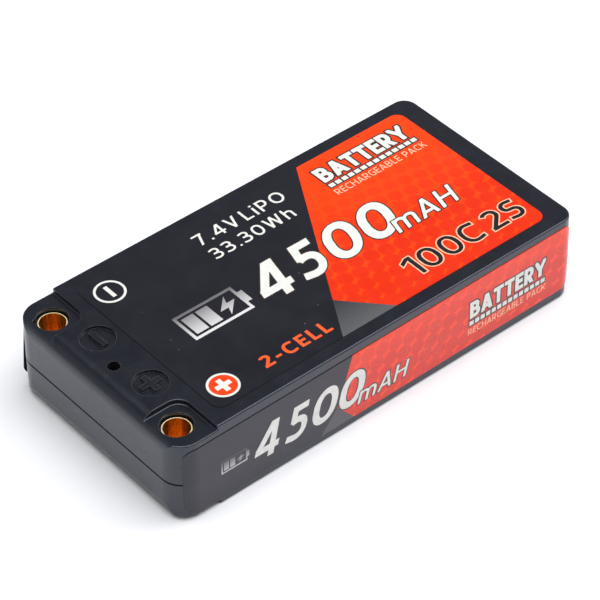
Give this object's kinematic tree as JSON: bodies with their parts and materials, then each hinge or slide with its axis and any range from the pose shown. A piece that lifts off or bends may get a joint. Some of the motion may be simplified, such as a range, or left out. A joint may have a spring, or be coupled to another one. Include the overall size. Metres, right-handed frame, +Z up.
{
  "type": "lithium polymer battery pack",
  "caption": "Low rectangular hard-case battery pack for a model car, with bullet sockets sunk in stepped corners, a small balance socket between them and printed labels.",
  "frame": {"origin": "centre of the pack's underside", "axes": "+X along the length, from the terminal end to the plain end; +Y across, from the positive terminal's side to the negative terminal's side; +Z up through the top label"},
  "size_m": [0.094, 0.0472, 0.019],
  "materials": {
    "case_plastic": "satin",
    "top_print": "satin",
    "side_print": "satin",
    "gold_plating": "polished",
    "circuit_board": "satin",
    "copper_foil": "satin",
    "solder": "polished",
    "pouch_foil": "satin",
    "nickel_strip": "polished",
    "tab_film": "satin",
    "polyimide_tape": "glossy",
    "double_sided_tape": "matte",
    "foam": "matte",
    "adhesive": "satin"
  },
  "bodies": {
    "root": {"case_lid": "case_plastic", "case_base": "case_plastic", "seam_adhesive": "adhesive", "top_label": "top_print", "near_side_label": "side_print", "far_side_label": "side_print", "positive_socket": "gold_plating", "negative_socket": "gold_plating", "balance_socket": "gold_plating", "terminal_board": "circuit_board", "board_copper": "copper_foil", "socket_solder": "solder", "foot_solder": "solder", "upper_cell": "pouch_foil", "lower_cell": "pouch_foil", "upper_cell_positive_tab": "nickel_strip", "upper_cell_negative_tab": "nickel_strip", "lower_cell_positive_tab": "nickel_strip", "lower_cell_negative_tab": "nickel_strip", "upper_cell_tab_films": "tab_film", "lower_cell_tab_films": "tab_film", "series_link": "nickel_strip", "positive_busbar": "nickel_strip", "negative_busbar": "nickel_strip", "balance_tap": "nickel_strip", "link_insulation": "polyimide_tape", "cell_tape": "double_sided_tape", "top_foam_pad": "foam", "bottom_foam_pad": "foam", "end_foam_pad": "foam", "front_binding_tape": "polyimide_tape", "rear_binding_tape": "polyimide_tape"}
  },
  "joints": []
}
